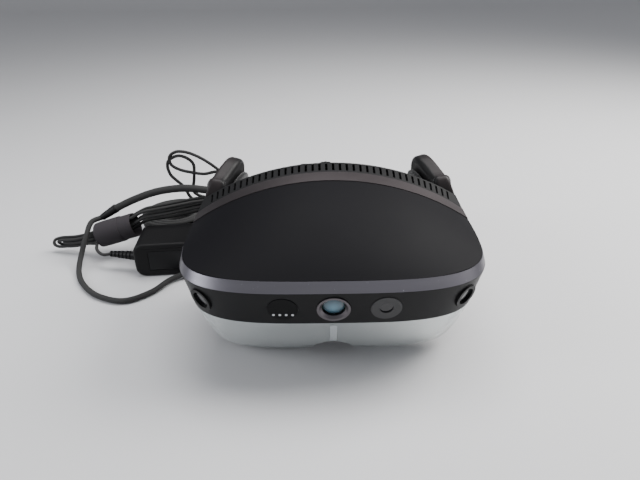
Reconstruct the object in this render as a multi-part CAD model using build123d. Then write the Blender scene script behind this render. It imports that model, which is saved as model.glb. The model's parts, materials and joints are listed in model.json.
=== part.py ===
from build123d import *
import os
from math import copysign, cos, degrees, pi, radians, sin, sqrt, tan

# Tethered see-through headset with its adapter, lying on a table.
# X runs across the face, +Y runs to the back of the head, +Z is up, millimetres.
# The design frame has Y = 0 at the widest place of the head unit.

# ---- driving dimensions -------------------------------------------------
HEAD_HALF = 98.0        # half width at the bar's upper edge
HEAD_FRONT = -56.4      # foremost line of the head unit
PLAN_CENTRE_Y = 10.0    # where the bowed front turns into the sides
PLAN_POWER = 3.6        # squareness of the bowed plan
PLAN_STEPS = 24
SIDE_TAPER = 4.0        # each side pulls in by this much at the back
HEAD_BACK = 48.0
BAR_LOW_HALF = 93.0
BAR_LOW_FRONT = -50.3
BAR_LOW_Z = 45.0
BAR_TOP_Z = 70.0
BAR_WALL = 3.0
TRIM_TOP_HALF = 96.6
TRIM_TOP_FRONT = -51.3
TRIM_TOP_Z = 75.2
TRIM_END_Y = 25.0
GAP = 0.3               # shadow gap between outer shells
COVER_WALL = 2.5
CROWN_Y = 69.1          # side-view circle of the dome's ridge
CROWN_Z = -98.3
CROWN_RADIUS = 211.2
CROWN_SECTIONS = (      # Y, radius of the dome across
    (-58.0, 1300.0),
    (-46.0, 644.0),
    (-37.0, 400.0),
    (-20.0, 256.0),
    (2.0, 196.0),
    (24.0, 168.0),
    (48.0, 175.0),
    (60.0, 180.0),
)
COVER_END_Y = 22.6
REAR_TRIM_END_Y = 33.5
VENT_COUNT = 42
VENT_PITCH = 4.8
VENT_SLOT = 1.7
SENSOR_Z = 57.5
VISOR_WALL = 2.2
ARM_THICK = 12.5
ARM_SECTIONS = (        # Y, centre X, centre Z, height, inward tilt
    (48.4, 87.6, 66.0, 36.0, 0.0),
    (70.0, 89.5, 68.0, 44.0, 6.0),
    (90.0, 87.0, 68.0, 52.0, 12.0),
    (103.0, 84.0, 70.0, 56.0, 16.0),
    (120.0, 82.5, 60.0, 54.0, 12.0),
    (138.0, 81.0, 45.0, 48.0, 5.0),
    (155.0, 80.0, 36.0, 38.0, 0.0),
    (178.0, 80.0, 32.0, 30.0, 0.0),
)
RAIL_X = 80.0
RAIL_Z = 32.0
RAIL_THICK = 4.4
RAIL_HIGH = 12.0
RAIL_FRONT_Y = 146.0
SLIDE_CLEAR = 0.4
YOKE_TURN_Y = 196.0     # where the rails turn into the rear arc
YOKE_DEPTH = 47.0       # rear arc, on its centre line
DIAL_Y = 257.0
DIAL_Z = 19.0
DIAL_RADIUS = 17.0
DIAL_LENGTH = 11.0
PINION_RADIUS = 8.0
BUTTON_TRAVEL = 0.6


def box_between(low, high):
    """Upright box given by its lowest and highest corners."""
    size = [high[i] - low[i] for i in range(3)]
    middle = [(high[i] + low[i]) / 2 for i in range(3)]
    return Pos(*middle) * Box(*size)


def rod(start, end, radius):
    """Solid cylinder from one point to another."""
    axis = Vector(*end) - Vector(*start)
    return extrude(Plane(origin=start, z_dir=axis) * Circle(radius), axis.length)


def mirrored(shape):
    return mirror(shape, about=Plane.YZ)


# ---- head unit shells ---------------------------------------------------
def plan_face(z, half_width, front_y, back_y=HEAD_BACK):
    """Plan outline: superellipse front, slightly tapered sides, straight back."""
    depth = PLAN_CENTRE_Y - front_y
    points = []
    for step in range(PLAN_STEPS + 1):
        turn = pi * step / PLAN_STEPS
        across = copysign(abs(cos(turn)) ** (2 / PLAN_POWER), cos(turn))
        along = abs(sin(turn)) ** (2 / PLAN_POWER)
        points.append((half_width * across, PLAN_CENTRE_Y - depth * along, z))
    front = Spline(*points, tangents=[(0, -1, 0), (0, 1, 0)])
    back_half = half_width - SIDE_TAPER * (back_y - PLAN_CENTRE_Y) / (HEAD_BACK - PLAN_CENTRE_Y)
    left = TangentArc((-half_width, PLAN_CENTRE_Y, z), (-back_half, back_y, z), tangent=(0, 1, 0))
    back = Line((-back_half, back_y, z), (back_half, back_y, z))
    right = TangentArc((half_width, PLAN_CENTRE_Y, z), (back_half, back_y, z), tangent=(0, 1, 0))
    return make_face(Wire([front, left, back, right]))


def plan_prism(low_z, high_z, half_width, front_y, back_y=HEAD_BACK):
    return extrude(plan_face(low_z, half_width, front_y, back_y), high_z - low_z, dir=(0, 0, 1))


def bar_solid(inset, low_z, high_z, back_y=HEAD_BACK):
    """Tapered prism of the sensor bar, moved inwards by inset."""
    faces = []
    for z in (low_z, high_z):
        share = (z - BAR_LOW_Z) / (BAR_TOP_Z - BAR_LOW_Z)
        half = BAR_LOW_HALF + (HEAD_HALF - BAR_LOW_HALF) * share - inset
        front = BAR_LOW_FRONT + (HEAD_FRONT - BAR_LOW_FRONT) * share + inset
        faces.append(plan_face(z, half, front, back_y))
    return loft(faces, ruled=True)


def trim_ring(low_z):
    """Sloped ring between the bar's upper edge and the dome."""
    outer = loft(
        [
            plan_face(low_z, HEAD_HALF, HEAD_FRONT),
            plan_face(TRIM_TOP_Z, TRIM_TOP_HALF, TRIM_TOP_FRONT),
        ],
        ruled=True,
    )
    bore = plan_prism(
        BAR_TOP_Z - 1, TRIM_TOP_Z + 1, TRIM_TOP_HALF - 0.3, TRIM_TOP_FRONT + 0.3, HEAD_BACK + 5
    )
    return outer - bore


def bar_rise(clear):
    """Wedge along both sides where the bar climbs and the trim thins out."""
    outline = Polyline(
        (0, -30.0, BAR_TOP_Z - 5),
        (0, -30.0, BAR_TOP_Z - clear),
        (0, TRIM_END_Y, TRIM_TOP_Z - 1.2 - clear),
        (0, TRIM_END_Y + clear, TRIM_TOP_Z + 3),
        (0, HEAD_BACK + 5, TRIM_TOP_Z + 3),
        (0, HEAD_BACK + 5, BAR_TOP_Z - 5),
        close=True,
    )
    return extrude(make_face(outline), 2 * HEAD_HALF + 10, both=True)


def crown_solid(inset, low_z=55.0):
    """Solid under the dome, its skin moved inwards by inset."""
    reach = HEAD_HALF + 6
    faces = []
    for y, radius in CROWN_SECTIONS:
        top = CROWN_Z + sqrt((CROWN_RADIUS - inset) ** 2 - (y - CROWN_Y) ** 2)
        across = radius - inset
        edge = top - (across - sqrt(across**2 - reach**2))
        arc = ThreePointArc((-reach, y, edge), (0, y, top), (reach, y, edge))
        sides = Polyline((reach, y, edge), (reach, y, low_z), (-reach, y, low_z), (-reach, y, edge))
        faces.append(make_face(Wire([arc] + list(sides.edges()))))
    return loft(faces)


def crown_shell(start_y, end_y, proud=0.0):
    """Slice of the dome between two Y planes, hollow and open below."""
    low_z = BAR_TOP_Z + 1
    skin = plan_prism(low_z, 130, TRIM_TOP_HALF - 0.45, TRIM_TOP_FRONT + 0.45)
    hollow = plan_prism(
        low_z - 1, 131, TRIM_TOP_HALF - COVER_WALL - 0.45, TRIM_TOP_FRONT + COVER_WALL + 0.45,
        HEAD_BACK + 5,
    )
    slab = box_between((-120, start_y, low_z - 2), (120, end_y, 132))
    return (crown_solid(-proud) & skin & slab) - (crown_solid(COVER_WALL) & hollow)


def vent_slots():
    """Slots across the vent band, square to the dome."""
    y_mid = (REAR_TRIM_END_Y + HEAD_BACK) / 2 + 0.3
    radius = 173.0
    top = CROWN_Z + sqrt(CROWN_RADIUS**2 - (y_mid - CROWN_Y) ** 2)
    slots = []
    for index in range(VENT_COUNT):
        angle = (index - (VENT_COUNT - 1) / 2) * VENT_PITCH / radius
        if abs(radius * sin(angle)) > TRIM_TOP_HALF - SIDE_TAPER - 4:
            continue
        cutter = Pos(0, y_mid, 0) * Rot(0, degrees(angle), 0) * Pos(0, 0, radius - 1)
        slots.append(Pos(0, 0, top - radius) * cutter * Box(VENT_SLOT, 9.6, 11))
    return Compound(children=slots)


def bar_place(x, z):
    """Point on the bar's outer face and a plane facing outwards there."""
    def front(px, pz):
        share = (pz - BAR_LOW_Z) / (BAR_TOP_Z - BAR_LOW_Z)
        half = BAR_LOW_HALF + (HEAD_HALF - BAR_LOW_HALF) * share
        line = BAR_LOW_FRONT + (HEAD_FRONT - BAR_LOW_FRONT) * share
        depth = (PLAN_CENTRE_Y - line) * (1 - abs(px / half) ** PLAN_POWER) ** (1 / PLAN_POWER)
        return Vector(px, PLAN_CENTRE_Y - depth, pz)
    along = front(x + 0.5, z) - front(x - 0.5, z)
    upward = front(x, z + 0.5) - front(x, z - 0.5)
    return Plane(origin=front(x, z), x_dir=along, z_dir=along.cross(upward))


# ---- sensors in the bar -------------------------------------------------
CAMERA_RADIUS = 10.0
CAMERA_MOUTH = 7.0
CAMERA_LENS = 6.3
DEPTH_X = 31.0
DEPTH_RADIUS = 9.2
DEPTH_LENS = 4.0
EMITTER_X = -30.0
EMITTER_RADIUS = 9.0
LED_RADIUS = 0.8
LED_PITCH = 3.8
LED_DROP = 4.6
TRACKER_X = 80.0
TRACKER_SIZE = (15.0, 17.0)
SEAT = 0.15             # radial gap between a device and its hole


def plug(place, face, near, far):
    """Solid of a flat shape, from near to far along the outward normal."""
    moved = Plane(origin=place.origin + place.z_dir * near, x_dir=place.x_dir, z_dir=place.z_dir)
    return extrude(moved * face, far - near)


def sensor_places():
    """Device name, place on the bar and hole outline."""
    return {
        "camera": (bar_place(0, SENSOR_Z), Circle(CAMERA_RADIUS + SEAT)),
        "depth": (bar_place(DEPTH_X, SENSOR_Z), Circle(DEPTH_RADIUS + SEAT)),
        "emitter": (bar_place(EMITTER_X, SENSOR_Z), Circle(EMITTER_RADIUS + SEAT)),
        "right": (bar_place(TRACKER_X, SENSOR_Z), tracker_face(SEAT)),
        "left": (bar_place(-TRACKER_X, SENSOR_Z), tracker_face(SEAT)),
    }


def tracker_face(grow):
    return Ellipse(TRACKER_SIZE[0] / 2 + grow, TRACKER_SIZE[1] / 2 + grow)


def sensor_parts():
    places = sensor_places()
    camera = places["camera"][0]
    ring = plug(camera, Circle(CAMERA_RADIUS) - Circle(CAMERA_MOUTH), -3.2, 0.7)
    funnel = Cone(CAMERA_MOUTH, CAMERA_RADIUS - 1.2, 1.6)
    lens_ball = camera.location * Pos(0, 0, -16.9) * Sphere(16.0)
    depth = places["depth"][0]
    emitter = places["emitter"][0]
    leds = []
    emitter_window = plug(emitter, Circle(EMITTER_RADIUS), -2.8, 0.3)
    for index in range(4):
        spot = Pos((index - 1.5) * LED_PITCH, -LED_DROP)
        emitter_window -= plug(emitter, spot * Circle(LED_RADIUS + 0.05), -4, 2)
        leds.append(plug(emitter, spot * Circle(LED_RADIUS), -3.0, 0.5))
    parts = {
        "camera_ring": ring - camera.location * Pos(0, 0, 0.1) * funnel,
        "camera_lens": plug(camera, Circle(CAMERA_LENS), -3.2, 2) & lens_ball,
        "depth_window": plug(depth, Circle(DEPTH_RADIUS) - Circle(DEPTH_LENS + 0.05), -2.8, 0.4),
        "depth_lens": plug(depth, Circle(DEPTH_LENS), -2.4, -0.4),
        "emitter_window": emitter_window,
        "emitter_leds": Compound(children=leds),
    }
    modules = [
        plug(camera, Circle(8.6), -12.5, -3.4),
        plug(depth, Circle(7.5), -11.5, -3.0),
        plug(emitter, Circle(7.5), -11.5, -3.2),
    ]
    windows = []
    for side in ("right", "left"):
        place = places[side][0]
        mouth = tracker_face(-2.2)
        parts[side + "_tracker_bezel"] = plug(place, tracker_face(0) - mouth, -3.0, 0.9)
        windows.append(plug(place, tracker_face(-2.25), -2.4, -0.6))
        modules.append(plug(place, Circle(4.6), -9.5, -3.2))
    parts["tracker_windows"] = Compound(children=windows)
    modules.append(box_between((-60, -37.5, 50), (60, -36, 66.5)))
    parts["sensor_board"] = Compound(children=modules)
    return parts


def sensor_bar():
    bar = bar_solid(0, BAR_LOW_Z, BAR_TOP_Z)
    bar -= bar_solid(BAR_WALL, BAR_LOW_Z - 1, BAR_TOP_Z + 1, HEAD_BACK + 5)
    bar = bar + (trim_ring(BAR_TOP_Z) & bar_rise(GAP / 2))
    for place, outline in sensor_places().values():
        bar -= plug(place, outline, -8, 6)
    return bar


def front_trim():
    return trim_ring(BAR_TOP_Z + GAP / 2) - bar_rise(-GAP / 2)


# ---- visor --------------------------------------------------------------
VISOR_NARROW = 10.0     # how much narrower the visor is at the table
VISOR_RAKE = 31.3       # how far its lower edge lies behind the bar
VISOR_BULGE = 4.0
VISOR_CREASE = 2.6      # depth of the fold between the two lobes
LOBE_X = 35.0
NOTCH_HALF = 13.0
NOTCH_Z = 18.0
VISOR_TOP_Z = BAR_LOW_Z - 0.2


def visor_section(z, inset):
    """Level section: two lobes that meet in a fold, closed at the back."""
    share = (BAR_LOW_Z - z) / BAR_LOW_Z
    half = BAR_LOW_HALF - VISOR_NARROW * share - inset
    front = BAR_LOW_FRONT + VISOR_RAKE * share - 4 * VISOR_BULGE * share * (1 - share) + inset
    depth = PLAN_CENTRE_Y - front
    right = []
    for step in range(PLAN_STEPS // 2 + 1):
        turn = pi * step / PLAN_STEPS
        x = half * cos(turn) ** (2 / PLAN_POWER) if step < PLAN_STEPS // 2 else 0.0
        fold = VISOR_CREASE * share * max(0.0, 1 - x / LOBE_X) ** 2
        right.append((x, PLAN_CENTRE_Y - depth * sin(turn) ** (2 / PLAN_POWER) + fold, z))
    left = [(-x, y, z) for x, y, z in reversed(right)]
    back = PLAN_CENTRE_Y + 4
    closing = Polyline((-half, PLAN_CENTRE_Y, z), (-half, back, z), (half, back, z), (half, PLAN_CENTRE_Y, z))
    return make_face(Wire([Spline(*right), Spline(*left)] + list(closing.edges())))


def visor_body(inset, levels):
    return loft([visor_section(z, inset) for z in levels])


def visor():
    shell = visor_body(0, (45, 36, 27, 18, 9, -1))
    shell -= visor_body(VISOR_WALL, (46, 36, 27, 18, 9, -2))
    lobe = (
        (95, VISOR_TOP_Z), (91, 30), (81.5, 13), (62, 3.2), (LOBE_X, 0.02), (20, 1.0),
        (NOTCH_HALF, 5),
    )
    right = Spline(*lobe)
    left = Spline(*[(-x, z) for x, z in lobe])
    notch = ThreePointArc((NOTCH_HALF, 5), (0, NOTCH_Z), (-NOTCH_HALF, 5))
    top = Line((-95, VISOR_TOP_Z), (95, VISOR_TOP_Z))
    outline = make_face([right, notch, left, top])
    front_view = extrude(Plane(origin=(0, 20, 0), x_dir=(1, 0, 0), z_dir=(0, -1, 0)) * outline, 90)
    side_view = Polyline((0, 4, 46), (0, -10, 8), (0, -10, 0), (0, -80, 0), (0, -80, 46), close=True)
    side_view = extrude(make_face(side_view), 100, both=True)
    return shell & front_view & side_view & box_between((-110, -80, 0), (110, 40, VISOR_TOP_Z))


# ---- inside the head unit -----------------------------------------------
BOSS_PLACES = ((-70.0, -8.0), (70.0, -8.0), (-70.0, 32.0), (70.0, 32.0))
BOSS_RADIUS = 3.5
FLOOR_LOW_Z = BAR_LOW_Z + 0.1
FLOOR_TOP_Z = BAR_LOW_Z + 2.6
GLASS_HALF_X = 61.0
GLASS_Y = (-30.0, 21.0)
BOARD_Z = 76.2
BUTTON_X = 81.0
BUTTON_Y = {
    "volume_up_button": -14.0,
    "volume_down_button": -4.0,
    "brightness_up_button": 12.0,
    "brightness_down_button": 22.0,
}
BUTTON_SIZE = (6.0, 8.0)


def lower_housing():
    """Floor of the head unit with the display opening, bosses and button holes."""
    floor = bar_solid(BAR_WALL + 0.2, FLOOR_LOW_Z, FLOOR_TOP_Z, HEAD_BACK - 2.6)
    floor -= box_between((-GLASS_HALF_X, GLASS_Y[0], 40), (GLASS_HALF_X, GLASS_Y[1], 60))
    for x, y in BOSS_PLACES:
        floor += Pos(x, y, (FLOOR_TOP_Z + BOARD_Z - 0.4) / 2 - 0.5) * Cylinder(
            BOSS_RADIUS, BOARD_Z - 0.4 - FLOOR_TOP_Z + 1
        )
    for x, y in BOSS_PLACES:
        floor -= rod((x, y, 40), (x, y, 62), 1.45)
        floor -= rod((x, y, 40), (x, y, FLOOR_LOW_Z + 1.6), 3.1)
        floor -= rod((x, y, 66), (x, y, 80), 1.45)
    for y in BUTTON_Y.values():
        hole = RectangleRounded(BUTTON_SIZE[0] + 0.7, BUTTON_SIZE[1] + 0.7, 1.8)
        floor -= Pos(BUTTON_X, y, 40) * extrude(hole, 12)
    return floor


def screw(x, y, head_z, tip_z, head_radius, shank_radius):
    """Upright screw with a recessed head; the head lies at head_z."""
    way = 1 if tip_z > head_z else -1
    body = rod((x, y, head_z), (x, y, head_z + way * 1.4), head_radius)
    body += rod((x, y, head_z), (x, y, tip_z), shank_radius)
    return body - Pos(x, y, head_z) * Box(0.6, 3.0, 1.2) - Pos(x, y, head_z) * Box(3.0, 0.6, 1.2)


def inner_parts():
    half_x = GLASS_HALF_X
    frame = box_between((-half_x - 4, GLASS_Y[0] - 4, FLOOR_TOP_Z + 0.1), (half_x + 4, GLASS_Y[1] + 4, 58))
    frame -= box_between((-half_x + 2, GLASS_Y[0] + 2, 40), (half_x - 2, GLASS_Y[1] - 2, 70))
    board = box_between((-75, -13, BOARD_Z), (75, 38, BOARD_Z + 1.6))
    for x, y in BOSS_PLACES:
        board -= rod((x, y, 70), (x, y, 80), 1.6)
    chips = box_between((-18, 2, BOARD_Z - 1.6), (8, 26, BOARD_Z - 0.05))
    chips += box_between((20, 4, BOARD_Z - 1.2), (36, 18, BOARD_Z - 0.05))
    chips += box_between((-44, 6, BOARD_Z - 1.2), (-28, 22, BOARD_Z - 0.05))
    button_board = box_between((76.3, -20, 52.3), (85.5, 28, 53.5))
    spreader = box_between((-54, -4, BOARD_Z + 1.7), (54, 36, BOARD_Z + 4.0))
    for index in range(12):
        x = (index - 5.5) * 9
        spreader += box_between((x - 0.7, 2, BOARD_Z + 3), (x + 0.7, 34, BOARD_Z + 10))
    plate = crown_solid(COVER_WALL + 0.4) & plan_prism(60, 130, 92.2, -40)
    plate &= box_between((-120, 45.7, BAR_TOP_Z + 1.2), (120, 47.5, 130))
    lower_back = bar_solid(BAR_WALL + 0.4, FLOOR_TOP_Z, BAR_TOP_Z + 1.4, HEAD_BACK - 0.5)
    plate += lower_back & box_between((-120, 45.7, FLOOR_LOW_Z + 0.2), (120, 47.5, BAR_TOP_Z + 1.4))
    for index in range(9):
        plate -= box_between(((index - 4) * 7 - 1.2, 40, 88), ((index - 4) * 7 + 1.2, 50, 100))
    for x, z in ARM_SCREWS:
        plate -= rod((x, 40, z), (x, 50, z), 1.8)
    return {
        "display_glass": box_between(
            (-half_x + 0.3, GLASS_Y[0] + 0.3, FLOOR_LOW_Z + 0.4),
            (half_x - 0.3, GLASS_Y[1] - 0.3, FLOOR_TOP_Z - 0.2),
        ),
        "display_frame": frame,
        "display_panel": box_between(
            (-half_x - 2, GLASS_Y[0] - 2, 58.1), (half_x + 2, GLASS_Y[1] + 2, 60.6)
        ),
        "main_board": Compound(children=[board, button_board] + list(chips.solids())),
        "heat_spreader": spreader,
        "rear_plate": plate,
        "housing_screws": Compound(children=[
            screw(x, y, FLOOR_LOW_Z + 0.1, 60, 2.7, 1.25) for x, y in BOSS_PLACES
        ] + [
            screw(x, y, BOARD_Z + 3.1, 68, 2.7, 1.25) for x, y in BOSS_PLACES
        ]),
    }


def button(name):
    """Pushed straight up; a flange keeps it from falling out."""
    y = BUTTON_Y[name]
    stem = extrude(RectangleRounded(*BUTTON_SIZE, 1.4), 5.0)
    stem = fillet(stem.faces().sort_by(Axis.Z)[0].edges(), 0.4)
    flange = Pos(0, 0, 3.3) * extrude(RectangleRounded(BUTTON_SIZE[0] + 1.6, BUTTON_SIZE[1] + 1.6, 1.4), 1.0)
    nub = Pos(0, 0, 5.0) * extrude(Circle(1.2), 1.9)
    return Pos(BUTTON_X, y, FLOOR_LOW_Z - 0.7) * (stem + flange + nub)


# ---- forehead pad, arms and their pads ----------------------------------
PAD_RADIUS = 130.0
PAD_FACE_Y = 62.0
PAD_THICK = 9.0
ARM_SCREWS = ((-85.2, 60.0), (-85.2, 74.0), (85.2, 60.0), (85.2, 74.0))


def curved_slab(near_radius, far_radius, half_x, low_z, high_z):
    """Slab between two upright cylinders whose axis lies at the head."""
    axis_y = PAD_FACE_Y + PAD_RADIUS
    ring = Circle(far_radius) - Circle(near_radius)
    slab = Pos(0, axis_y, low_z) * extrude(ring, high_z - low_z)
    return slab & box_between((-half_x, 0, low_z), (half_x, axis_y - 60, high_z))


def forehead_pad():
    pad = curved_slab(PAD_RADIUS, PAD_RADIUS + PAD_THICK, 62, 56, 92)
    return fillet(pad.edges(), 3.5)


def forehead_plate():
    plate = curved_slab(PAD_RADIUS + PAD_THICK + 0.3, PAD_RADIUS + PAD_THICK + 2.3, 58, 60, 89)
    for x in (-26, 26):
        plate += rod((x, HEAD_BACK - 0.4, 78), (x, 54.5, 78), 4)
    return plate - Pos(0, PAD_FACE_Y + PAD_RADIUS, 60) * extrude(Circle(PAD_RADIUS + PAD_THICK + 0.3), 50)


def arm_slice(section, across, shrink_high, offset):
    """Rounded outline of an arm in a Y plane, moved towards the head by offset."""
    y, x, z, high, tilt = section
    plane = Plane(origin=(x, y, z), x_dir=(1, 0, 0), z_dir=(0, -1, 0))
    outline = Pos(-offset, 0) * RectangleRounded(across, high - shrink_high, across * 0.32)
    return plane * (Rot(0, 0, tilt) * outline)


def right_arm():
    arm = loft([arm_slice(section, ARM_THICK, 0, 0) for section in ARM_SECTIONS])
    pocket = (RAIL_THICK + 2 * SLIDE_CLEAR, RAIL_HIGH + 2 * SLIDE_CLEAR)
    front_y = RAIL_FRONT_Y - 8 - 4
    arm -= box_between(
        (RAIL_X - pocket[0] / 2, front_y, RAIL_Z - pocket[1] / 2),
        (RAIL_X + pocket[0] / 2, 190, RAIL_Z + pocket[1] / 2),
    )
    for x, z in ARM_SCREWS[2:]:
        arm -= rod((x, 40, z), (x, 61, z), 1.6)
    return arm


def arm_screw_group():
    group = []
    for x, z in ARM_SCREWS:
        body = rod((x, 43.9, z), (x, 45.5, z), 3.0) + rod((x, 43.9, z), (x, 59, z), 1.4)
        group.append(body - Pos(x, 43.9, z) * Box(3.0, 1.2, 0.6))
    return Compound(children=group)


def right_arm_pad():
    """Soft pad on the inner face of the arm."""
    return loft([
        arm_slice(section, 5.0, shrink, ARM_THICK / 2 + 3.2)
        for section, shrink in zip(ARM_SECTIONS[1:5], (22, 18, 20, 26))
    ])


# ---- rear yoke, dial and racks ------------------------------------------
CRADLE_HALF = 46.0
CRADLE_THICK = 4.0
HOUSING_HALF = 33.0
CAVITY_HALF = 30.0
CAVITY_Z = (6.0, 32.0)
RACK_LENGTH = 35.0
RACK_THICK = 3.0
RACK_HIGH = 4.0
RACK_START = -13.5      # inner end of the upper rack at rest


def arc_solid(grow, low_z, high_z):
    """Solid inside the rear arc, grown from its centre line."""
    ellipse = Pos(0, YOKE_TURN_Y, low_z) * extrude(Ellipse(RAIL_X + grow, YOKE_DEPTH + grow), high_z - low_z)
    return ellipse & box_between((-120, YOKE_TURN_Y, low_z), (120, 280, high_z))


def yoke_band():
    """Two rails, the rear arc and the cradle that rests on the table."""
    low_z = RAIL_Z - RAIL_HIGH / 2
    high_z = RAIL_Z + RAIL_HIGH / 2
    half = RAIL_THICK / 2
    band = arc_solid(half, low_z, high_z)
    cradle = arc_solid(half + CRADLE_THICK, 0, high_z) & box_between(
        (-CRADLE_HALF, 220, 0), (CRADLE_HALF, 280, high_z)
    )
    band = band + cradle - arc_solid(-half, -1, high_z + 1)
    for side in (-1, 1):
        x = side * RAIL_X
        band += box_between((x - half, RAIL_FRONT_Y, low_z), (x + half, YOKE_TURN_Y, high_z))
    return band - rod((0, 230, DIAL_Z), (0, 260, DIAL_Z), 5)


def dial_housing():
    """Shell for the racks, open towards the cradle."""
    back_y = DIAL_Y - 0.4
    shell = Pos(0, 0, 1) * box_between((-HOUSING_HALF, 225, -0.5), (HOUSING_HALF, back_y, 36.5))
    shell = fillet(shell.edges().filter_by(Axis.Y), 8)
    shell = fillet(shell.faces().sort_by(Axis.Y)[-1].edges(), 2)
    shell -= arc_solid(RAIL_THICK / 2 + CRADLE_THICK + 0.2, -5, 60)
    shell -= box_between((-60, 200, -5), (60, YOKE_TURN_Y + 40, 60))
    shell -= box_between((-CAVITY_HALF, 225, CAVITY_Z[0]), (CAVITY_HALF, back_y - 2.4, CAVITY_Z[1]))
    return shell - rod((0, 240, DIAL_Z), (0, 270, DIAL_Z), 3.1)


def toothed_wheel(tip_radius, root_radius, count, length):
    wheel = extrude(Circle(root_radius), length)
    tooth_width = pi * tip_radius / count * 0.8
    for index in range(count):
        tooth = Pos(tip_radius / 2, 0, length / 2) * Box(tip_radius, tooth_width, length)
        wheel += Rot(0, 0, 360 * index / count) * tooth
    return wheel & extrude(Circle(tip_radius), length)


def dial_pinion():
    """Pinion and shaft, one moulding; the shaft carries the dial."""
    wheel = toothed_wheel(PINION_RADIUS - 0.15, PINION_RADIUS - 1.6, 16, RACK_THICK)
    place = Location((0, DIAL_Y - 3.1, DIAL_Z), (90, 0, 0))
    return place * wheel + rod((0, DIAL_Y - 4, DIAL_Z), (0, DIAL_Y + 8, DIAL_Z), 3.0)


def dial_knob():
    knob = rod((0, DIAL_Y, DIAL_Z), (0, DIAL_Y + DIAL_LENGTH, DIAL_Z), DIAL_RADIUS)
    knob = fillet(knob.faces().sort_by(Axis.Y)[-1].edges(), 2)
    for index in range(24):
        angle = radians(360 * (index + 0.5) / 24)
        x = (DIAL_RADIUS + 0.9) * cos(angle)
        z = DIAL_Z + (DIAL_RADIUS + 0.9) * sin(angle)
        knob -= rod((x, DIAL_Y - 1, z), (x, DIAL_Y + DIAL_LENGTH + 1, z), 1.6)
    return knob - rod((0, DIAL_Y - 1, DIAL_Z), (0, DIAL_Y + 8.1, DIAL_Z), 3.02)


def rack(side):
    """Toothed strip above (side 1) or below (side -1) the pinion."""
    low = PINION_RADIUS + 0.25
    y = DIAL_Y - 3.1 - RACK_THICK
    bar = box_between((RACK_START, y, low + 1.2), (RACK_START + RACK_LENGTH, y + RACK_THICK, low + RACK_HIGH))
    pitch = 2 * pi * PINION_RADIUS / 16
    for index in range(int(RACK_LENGTH / pitch)):
        x = RACK_START + 0.9 + index * pitch
        bar += box_between((x, y, low), (x + pitch * 0.45, y + RACK_THICK, low + 1.5))
    if side < 0:
        bar = bar.rotate(Axis((0, 0, 0), (0, 1, 0)), 180)
    return Pos(0, 0, DIAL_Z) * bar


def rear_pad():
    """Soft pad on the right half of the rear arc."""
    half = RAIL_THICK / 2
    pad = arc_solid(-half - 0.4, 5, 35) - arc_solid(-half - 8.4, 0, 40)
    pad &= box_between((5, YOKE_TURN_Y + 10, 0), (52, 280, 40))
    return fillet(pad.edges(), 2.5)


# ---- adapter, cords and what is on them ---------------------------------
TETHER_RADIUS = 3.4
LEAD_RADIUS = 2.3
POWER_RADIUS = 1.4
ADAPTER_SIZE = (72.0, 40.0, 30.5)
ADAPTER_CORNER = 8.0
ADAPTER_SEAM_Z = 26.5
ADAPTER_PLACE = Location((-131.2, 100.5, 0), (0, 0, 5))
ADAPTER_WALL = 2.0
COIL_CENTRE = (-152.0, 172.0)
COIL_RADIUS = 26.0
COIL_TURNS_ACROSS = 3
COIL_LAYERS = 4
GLAND_START = (-86.4, 135.0, 56.4)
TETHER_ROUTE = (
    (-106.6, 131.4, 57.5),
    (-128.0, 131.0, 60.0),
    (-152.0, 130.0, 57.8),
    (-174.0, 129.2, 50.8),
    (-192.5, 128.6, 42.4),
)
SPLITTER_END = (-206.5, 128.0, 33.8)
DATA_ROUTE = (
    SPLITTER_END,
    (-214.5, 121.8, 32.2),
    (-217.5, 110.0, 22.0),
    (-220.5, 99.5, 9.0),
    (-217.5, 84.0, 2.5),
    (-206.0, 64.0, 2.6),
    (-187.0, 46.0, 2.4),
    (-163.0, 38.5, 2.5),
    (-145.0, 51.0, 2.4),
    (-134.0, 68.0, 3.0),
    (-119.0, 77.0, 4.4),
    (-100.0, 78.5, 3.4),
    (-80.0, 88.0, 2.4),
    (-66.0, 106.0, 2.5),
    (-63.0, 128.0, 2.4),
    (-76.0, 144.0, 2.5),
    (-98.0, 149.0, 2.4),
    (-120.0, 147.0, 2.5),
    (-136.0, 146.2, 2.4),
)
DATA_PLUG_START = (-126.0, 194.0, 6.0)
DATA_PLUG_LENGTH = 34.0
POWER_ROUTE = (
    (-190.5, 93.6, 14.6),
    (-199.0, 95.6, 12.6),
    (-206.0, 101.4, 14.6),
    (-207.6, 110.0, 18.4),
)
LOOP_ROUTE = (
    (-112.0, 131.0, 47.0),
    (-124.0, 136.0, 47.5),
    (-131.0, 138.0, 59.0),
    (-141.5, 138.0, 71.0),
    (-142.0, 138.4, 82.5),
    (-131.0, 138.2, 88.0),
    (-120.0, 138.0, 81.5),
    (-120.5, 138.2, 67.0),
    (-122.5, 139.0, 53.0),
    (-113.0, 143.0, 46.0),
    (-101.0, 147.0, 48.0),
    (-92.0, 147.5, 56.0),
    (-91.4, 144.0, 66.0),
    (-99.0, 141.0, 71.5),
    (-111.0, 138.6, 70.5),
    (-122.0, 137.6, 72.5),
    (-133.0, 137.8, 75.5),
    (-139.5, 138.0, 80.0),
    (-140.0, 138.2, 87.0),
    (-134.0, 138.4, 91.5),
    (-124.0, 138.2, 91.0),
    (-112.0, 138.0, 85.5),
    (-101.0, 140.5, 76.0),
    (-93.0, 149.0, 62.0),
    (-95.0, 158.0, 43.0),
    (-99.0, 161.0, 24.0),
    (-101.0, 168.0, 8.0),
    (-101.0, 181.0, 4.2),
)
POWER_PLUG_END = (-101.0, 206.0, 4.2)
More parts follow.
